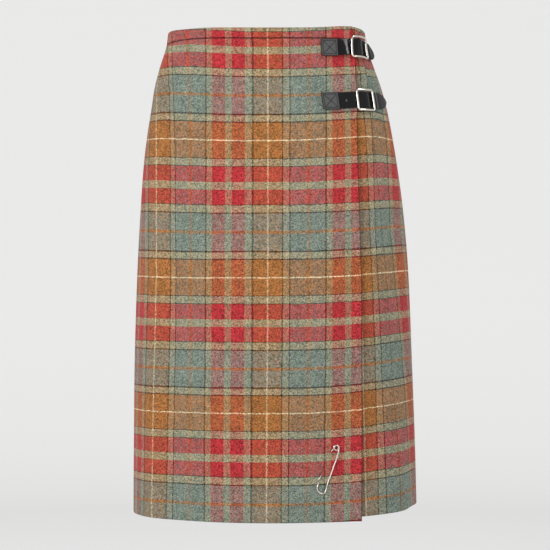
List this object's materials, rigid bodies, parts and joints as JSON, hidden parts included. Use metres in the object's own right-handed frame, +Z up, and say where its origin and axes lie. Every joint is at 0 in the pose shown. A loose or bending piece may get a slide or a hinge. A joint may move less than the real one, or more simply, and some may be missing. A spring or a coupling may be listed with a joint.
{
  "type": "kilt skirt",
  "caption": "Calf-length tartan wrap skirt, filled out and hollow, with a narrow waistband, leather straps through buckles at the right hip and a pin near the hem.",
  "frame": {"origin": "middle of the waist opening, level with the top edge at centre front", "axes": "+Z up, out of the waist; the front faces -Y and the fastening is on the +X side"},
  "size_m": [0.396, 0.2996, 0.6729],
  "materials": {
    "tweed": "brushed wool twill in a woven check",
    "leather": "grained black, polished on top",
    "nickel": "polished nickel plate",
    "pin_steel": "bright drawn wire"
  },
  "bodies": {
    "root": {"over_apron": "tweed", "under_apron": "tweed", "back_panel": "tweed", "waistband_over": "tweed", "waistband_under": "tweed", "waistband_back": "tweed", "strap_upper": "leather", "strap_patch_upper": "leather", "buckle_chape_upper": "leather", "buckle_upper": "nickel", "strap_lower": "leather", "strap_patch_lower": "leather", "buckle_chape_lower": "leather", "buckle_lower": "nickel", "kilt_pin": "pin_steel"}
  },
  "joints": []
}
